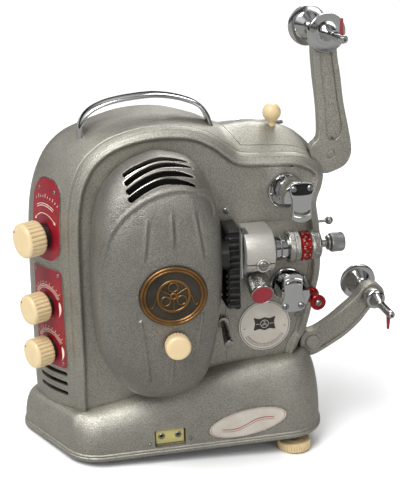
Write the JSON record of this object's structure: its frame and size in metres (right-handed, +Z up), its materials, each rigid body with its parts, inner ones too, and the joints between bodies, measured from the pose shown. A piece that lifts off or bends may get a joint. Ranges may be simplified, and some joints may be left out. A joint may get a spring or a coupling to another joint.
{
  "type": "film projector",
  "caption": "Narrow-gauge film projector with cast body, bulging lamphouse cover, folding reel arms, geared film path, lens, control knobs and screw feet.",
  "frame": {"origin": "centre of the bounding box's bottom face, on the floor the feet stand on", "axes": "+X the way the lens points, -Y towards the operator's side with the lens and lamphouse, +Z up"},
  "size_m": [0.3656, 0.1694, 0.4239],
  "materials": {
    "hammered_body": "hammered lacquer",
    "hammered_cover": "hammered light silver lacquer",
    "red_plate": "satin",
    "cream_plastic": "moulded, worn gloss",
    "chrome": "polished",
    "steel_knurl": "knurled",
    "red_metal": "anodised",
    "black_paint": "satin",
    "bronze": "aged relief",
    "label_metal": "etched",
    "glass": "clear, coated",
    "ceramic": "glazed",
    "rubber": "matte"
  },
  "bodies": {
    "stand": {"base_casting": "hammered_body", "base_bottom_plate": "black_paint", "rubber_feet": "rubber", "body_shell": "hammered_body", "back_cover": "hammered_body", "mechanism_plate": "hammered_body", "carrying_handle": "chrome", "lid_hinge_pin": "steel_knurl", "upper_control_plate": "red_plate", "lower_control_plate": "red_plate", "cover_stud": "steel_knurl", "lamp": "glass", "lamp_socket": "ceramic", "reflector": "chrome", "condenser": "black_paint", "lens_block": "hammered_cover", "gate_housing": "black_paint", "aperture_plate": "chrome", "gate_bracket": "hammered_cover", "sprocket_flanges": "chrome", "roller_pin": "chrome", "label_plate": "label_metal", "base_oval_plate": "label_metal", "tone_socket": "cream_plastic", "small_screws": "chrome", "arm_pins": "hammered_body", "motor": "black_paint"},
    "front_foot": {"front_screw_foot": "cream_plastic"},
    "rear_foot": {"rear_screw_foot": "cream_plastic"},
    "lid": {"top_lid": "hammered_body", "lid_ball_knob": "cream_plastic"},
    "upper_control": {"upper_knob": "cream_plastic"},
    "middle_control": {"middle_knob": "cream_plastic"},
    "lower_control": {"lower_knob": "cream_plastic"},
    "cover": {"lamphouse_cover": "hammered_cover", "cover_badge": "bronze"},
    "nut": {"cover_nut": "cream_plastic"},
    "clamp": {"clamp_screw": "chrome"},
    "lens": {"lens_barrel": "chrome", "lens_glass": "glass"},
    "focus": {"focus_ring": "chrome"},
    "iris": {"iris_ring": "red_metal"},
    "gate_plate": {"pressure_plate": "chrome"},
    "gate_turn": {"gate_knob": "steel_knurl"},
    "sprocket_upper": {"upper_sprocket": "chrome"},
    "sprocket_lower": {"lower_sprocket": "chrome"},
    "guide_upper": {"upper_film_guide": "chrome"},
    "guide_lower": {"lower_film_guide": "chrome"},
    "roller": {"film_roller": "red_metal"},
    "framing": {"framing_lever": "chrome"},
    "arm_upper": {"upper_arm": "hammered_body"},
    "arm_lower": {"lower_arm": "hammered_body"},
    "spindle_upper": {"upper_spindle": "chrome"},
    "spindle_lower": {"lower_spindle": "chrome"},
    "latch_up": {"upper_latch": "red_metal"},
    "latch_low": {"lower_latch": "red_metal"},
    "inching": {"inching_knob": "steel_knurl"},
    "ball_lever": {"speed_ball": "chrome"},
    "blower": {"fan": "black_paint"}
  },
  "joints": [
    {"name": "front_foot_height", "type": "slide", "parent": "stand", "child": "front_foot", "axis": [0.0625, 0, -0.998], "range_m": [-0.006, 0.008]},
    {"name": "rear_foot_height", "type": "slide", "parent": "stand", "child": "rear_foot", "axis": [0.0625, 0, -0.998], "range_m": [-0.006, 0.008]},
    {"name": "lid_hinge", "type": "hinge", "parent": "stand", "child": "lid", "pos_m": [0.05603, 0.05915, 0.31017], "axis": [0.998, 0, 0.0625], "range_deg": [-80, 0]},
    {"name": "upper_control_turn", "type": "hinge", "parent": "stand", "child": "upper_control", "pos_m": [-0.15563, 0.02045, 0.21325], "axis": [-0.8729, -0.4848, -0.0547], "range_deg": [0, 300]},
    {"name": "middle_control_turn", "type": "hinge", "parent": "stand", "child": "middle_control", "pos_m": [-0.15138, 0.02045, 0.14538], "axis": [-0.8729, -0.4848, -0.0547], "range_deg": [0, 270]},
    {"name": "lower_control_turn", "type": "hinge", "parent": "stand", "child": "lower_control", "pos_m": [-0.14856, 0.02045, 0.10047], "axis": [-0.8729, -0.4848, -0.0547], "range_deg": [0, 270]},
    {"name": "cover_lift_off", "type": "slide", "parent": "stand", "child": "cover", "axis": [0, -1, 0], "range_m": [0, 0.075]},
    {"name": "cover_nut_turn", "type": "hinge", "parent": "cover", "child": "nut", "pos_m": [-0.04347, -0.07285, 0.13912], "axis": [0, -1, 0], "continuous": true},
    {"name": "clamp_turn", "type": "hinge", "parent": "stand", "child": "clamp", "pos_m": [0.0377, -0.05285, 0.20282], "axis": [0, -1, 0], "range_deg": [-90, 0]},
    {"name": "focus_travel", "type": "slide", "parent": "stand", "child": "lens", "axis": [0.998, 0, 0.0625], "range_m": [0, 0.012]},
    {"name": "focus_turn", "type": "hinge", "parent": "lens", "child": "focus", "pos_m": [0.06509, -0.03285, 0.21355], "axis": [0.998, 0, 0.0625], "range_deg": [0, 270]},
    {"name": "iris_turn", "type": "hinge", "parent": "lens", "child": "iris", "pos_m": [0.08006, -0.03285, 0.21449], "axis": [0.998, 0, 0.0625], "range_deg": [0, 75]},
    {"name": "gate_knob_turn", "type": "hinge", "parent": "stand", "child": "gate_turn", "pos_m": [0.03902, -0.02285, 0.18186], "axis": [0.0214, -0.9397, -0.3414], "range_deg": [0, 90]},
    {"name": "gate_open", "type": "slide", "parent": "stand", "child": "gate_plate", "axis": [0.998, 0, 0.0625], "range_m": [0, 0.004]},
    {"name": "fan_spin", "type": "hinge", "parent": "stand", "child": "blower", "pos_m": [0.02153, 0.03815, 0.12515], "axis": [0.998, 0, 0.0625], "continuous": true},
    {"name": "inching_spin", "type": "hinge", "parent": "stand", "child": "inching", "pos_m": [0.12095, 0.01215, 0.20152], "axis": [0.998, 0, 0.0625], "continuous": true},
    {"name": "upper_sprocket_spin", "type": "hinge", "parent": "stand", "child": "sprocket_upper", "pos_m": [0.06901, -0.02785, 0.26289], "axis": [0, -1, 0], "continuous": true},
    {"name": "lower_sprocket_spin", "type": "hinge", "parent": "stand", "child": "sprocket_lower", "pos_m": [0.07289, -0.02785, 0.16895], "axis": [0, -1, 0], "continuous": true},
    {"name": "upper_guide_swing", "type": "hinge", "parent": "stand", "child": "guide_upper", "pos_m": [0.06901, -0.02785, 0.26289], "axis": [0, -1, 0], "range_deg": [0, 40]},
    {"name": "lower_guide_swing", "type": "hinge", "parent": "stand", "child": "guide_lower", "pos_m": [0.07289, -0.02785, 0.16895], "axis": [0, 1, 0], "range_deg": [0, 30]},
    {"name": "roller_spin", "type": "hinge", "parent": "stand", "child": "roller", "pos_m": [0.09653, -0.02785, 0.15941], "axis": [0, -1, 0], "continuous": true},
    {"name": "framing_swing", "type": "hinge", "parent": "stand", "child": "framing", "pos_m": [0.01198, -0.01385, 0.13357], "axis": [0, -1, 0], "range_deg": [-30, 30]},
    {"name": "upper_arm_fold", "type": "hinge", "parent": "stand", "child": "arm_upper", "pos_m": [0.1112, 0.00415, 0.29309], "axis": [0, 1, 0], "range_deg": [0, 95]},
    {"name": "lower_arm_fold", "type": "hinge", "parent": "stand", "child": "arm_lower", "pos_m": [0.10658, 0.00415, 0.10293], "axis": [0, 1, 0], "range_deg": [-12, 30]},
    {"name": "upper_spindle_spin", "type": "hinge", "parent": "arm_upper", "child": "spindle_upper", "pos_m": [0.09718, -0.01785, 0.40493], "axis": [0, -1, 0], "continuous": true},
    {"name": "lower_spindle_spin", "type": "hinge", "parent": "arm_lower", "child": "spindle_lower", "pos_m": [0.16428, -0.01785, 0.14963], "axis": [0, -1, 0], "continuous": true},
    {"name": "upper_latch_fold", "type": "hinge", "parent": "spindle_upper", "child": "latch_up", "pos_m": [0.09718, -0.04685, 0.40493], "axis": [0.998, 0, 0.0625], "range_deg": [-90, 0]},
    {"name": "lower_latch_fold", "type": "hinge", "parent": "spindle_lower", "child": "latch_low", "pos_m": [0.16428, -0.04685, 0.14963], "axis": [0.998, 0, 0.0625], "range_deg": [0, 90]},
    {"name": "ball_lever_pull", "type": "slide", "parent": "stand", "child": "ball_lever", "axis": [0.998, 0, 0.0625], "range_m": [-0.003, 0.004]}
  ],
  "couplings": [
    {"joint": "focus_turn", "follows": "focus_travel", "rad_per_m": 392.7},
    {"joint": "gate_open", "follows": "gate_knob_turn", "m_per_rad": 0.0025465},
    {"joint": "inching_spin", "follows": "fan_spin", "ratio": 0.25},
    {"joint": "upper_sprocket_spin", "follows": "fan_spin", "ratio": 0.020833},
    {"joint": "lower_sprocket_spin", "follows": "fan_spin", "ratio": 0.020833}
  ]
}
